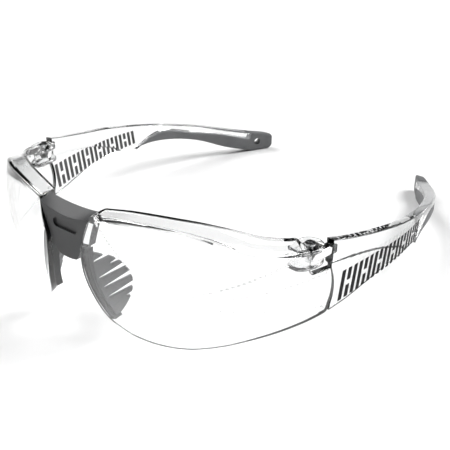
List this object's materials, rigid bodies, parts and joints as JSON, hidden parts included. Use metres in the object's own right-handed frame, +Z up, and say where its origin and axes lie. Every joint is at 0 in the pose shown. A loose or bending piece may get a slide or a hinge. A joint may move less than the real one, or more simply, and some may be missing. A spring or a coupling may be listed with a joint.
{
  "type": "sports protective goggles",
  "caption": "Clear wrap-around sports eyewear: two curved shields on a grey bridge with soft nose pads and folding clear temples with rubber grips.",
  "frame": {"origin": "middle of the base of the bounding box, on the table that the opened goggles stand on", "axes": "+Y back towards the wearer's ears, +Z up, +X towards the wearer's left"},
  "size_m": [0.15, 0.18, 0.0513],
  "materials": {
    "clear_polycarbonate": "polished, hard coated",
    "temple_polycarbonate": "polished injection moulding",
    "grey_shell": "satin moulded",
    "dark_plastic": "satin moulded",
    "soft_rubber": "matt, soft touch",
    "tip_rubber": "matt, soft touch",
    "steel": "turned"
  },
  "bodies": {
    "front": {"bridge_cover": "grey_shell", "bridge_core": "clear_polycarbonate", "lens_left": "clear_polycarbonate", "lens_right": "clear_polycarbonate", "pad_carrier_left": "dark_plastic", "pad_carrier_right": "dark_plastic", "nose_pad_left": "soft_rubber", "nose_pad_right": "soft_rubber", "hinge_pin_left": "steel", "hinge_pin_right": "steel"},
    "left_temple": {"temple_left": "temple_polycarbonate", "temple_grip_left": "tip_rubber"},
    "right_temple": {"temple_right": "temple_polycarbonate", "temple_grip_right": "tip_rubber"}
  },
  "joints": [
    {"name": "left_temple_fold", "type": "hinge", "parent": "front", "child": "left_temple", "pos_m": [0.0648, -0.0431, 0.0354], "axis": [0, 0, 1], "range_deg": [0, 75]},
    {"name": "right_temple_fold", "type": "hinge", "parent": "front", "child": "right_temple", "pos_m": [-0.0648, -0.0431, 0.0354], "axis": [0, 0, -1], "range_deg": [0, 58]}
  ]
}
